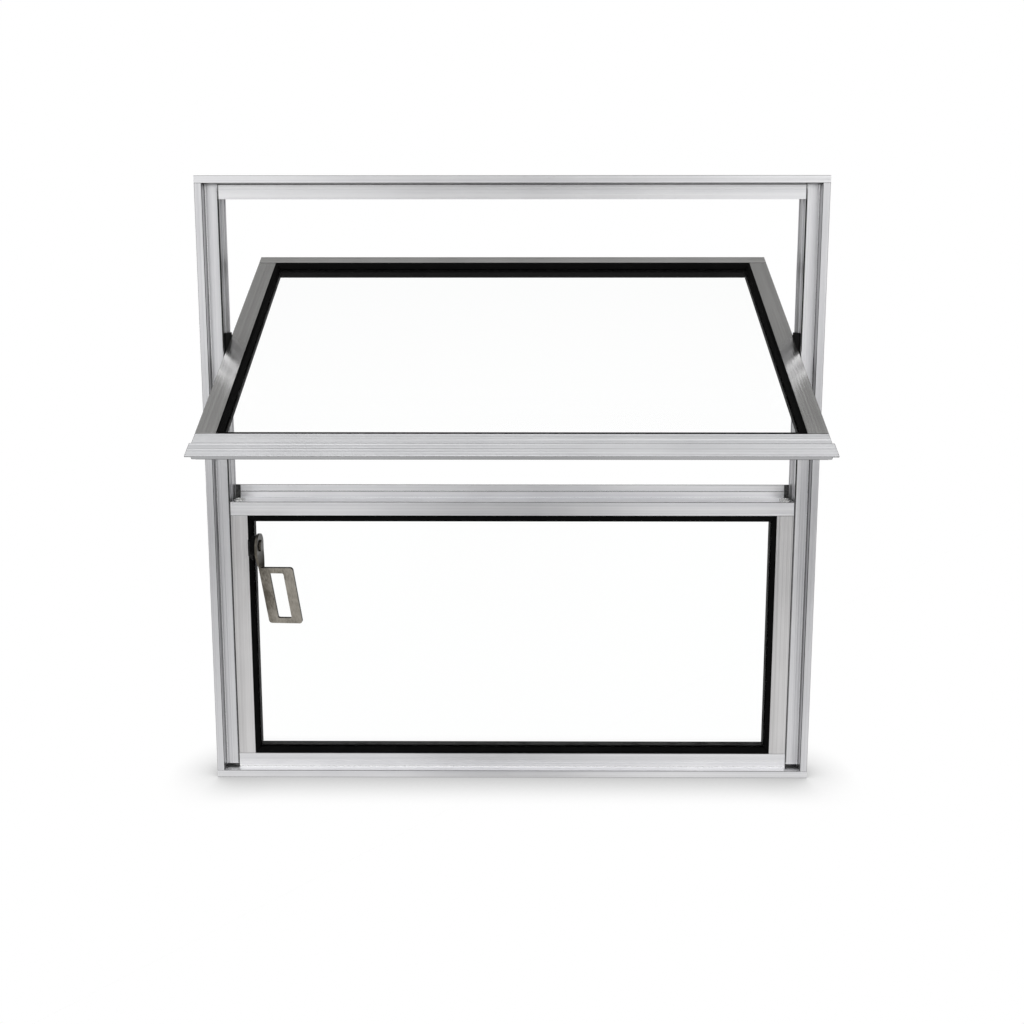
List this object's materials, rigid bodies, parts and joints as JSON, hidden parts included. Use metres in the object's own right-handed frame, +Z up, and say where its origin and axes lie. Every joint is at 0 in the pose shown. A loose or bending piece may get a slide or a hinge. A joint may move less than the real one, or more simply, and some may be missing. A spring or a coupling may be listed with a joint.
{
  "type": "bathroom window with tilting sash",
  "caption": "Small square aluminium window: flanged frame, fixed pane with a lever below the transom, centre-pivoted sash above, tilted open, black gaskets.",
  "frame": {"origin": "on the back of the sill's flange, mid-width, in the middle of the strip that laps the wall", "axes": "+Z up, +Y from the front of the window towards its back, +X to the right seen from the front"},
  "size_m": [0.6, 0.2738, 0.6],
  "materials": {
    "frame_aluminium": "mill finish, fine streaks along each bar",
    "sash_aluminium": "mill finish, satin",
    "gasket_rubber": "matt black",
    "clear_glass": "clear float glass",
    "black_plastic": "moulded, matt",
    "stainless_steel": "brushed"
  },
  "bodies": {
    "root": {"sill": "frame_aluminium", "head": "frame_aluminium", "jamb_left": "frame_aluminium", "jamb_right": "frame_aluminium", "transom": "frame_aluminium", "bead_left": "frame_aluminium", "bead_right": "frame_aluminium", "sash_top_rail": "sash_aluminium", "sash_bottom_rail": "sash_aluminium", "sash_stile_left": "sash_aluminium", "sash_stile_right": "sash_aluminium", "fixed_gasket_front_bottom": "gasket_rubber", "fixed_gasket_front_top": "gasket_rubber", "fixed_gasket_front_left": "gasket_rubber", "fixed_gasket_front_right": "gasket_rubber", "fixed_gasket_back_bottom": "gasket_rubber", "fixed_gasket_back_top": "gasket_rubber", "fixed_gasket_back_left": "gasket_rubber", "fixed_gasket_back_right": "gasket_rubber", "sash_gasket_front_bottom": "gasket_rubber", "sash_gasket_front_top": "gasket_rubber", "sash_gasket_front_left": "gasket_rubber", "sash_gasket_front_right": "gasket_rubber", "sash_gasket_back_bottom": "gasket_rubber", "sash_gasket_back_top": "gasket_rubber", "sash_gasket_back_left": "gasket_rubber", "sash_gasket_back_right": "gasket_rubber", "fixed_pane": "clear_glass", "sash_pane": "clear_glass", "upstand_plug_left": "gasket_rubber", "upstand_plug_right": "gasket_rubber", "pivot_pad_left": "black_plastic", "pivot_pad_right": "black_plastic", "lever_base": "black_plastic", "pivot_pin_left": "stainless_steel", "pivot_pin_right": "stainless_steel", "lever_rivet": "stainless_steel", "lever": "stainless_steel"}
  },
  "joints": []
}
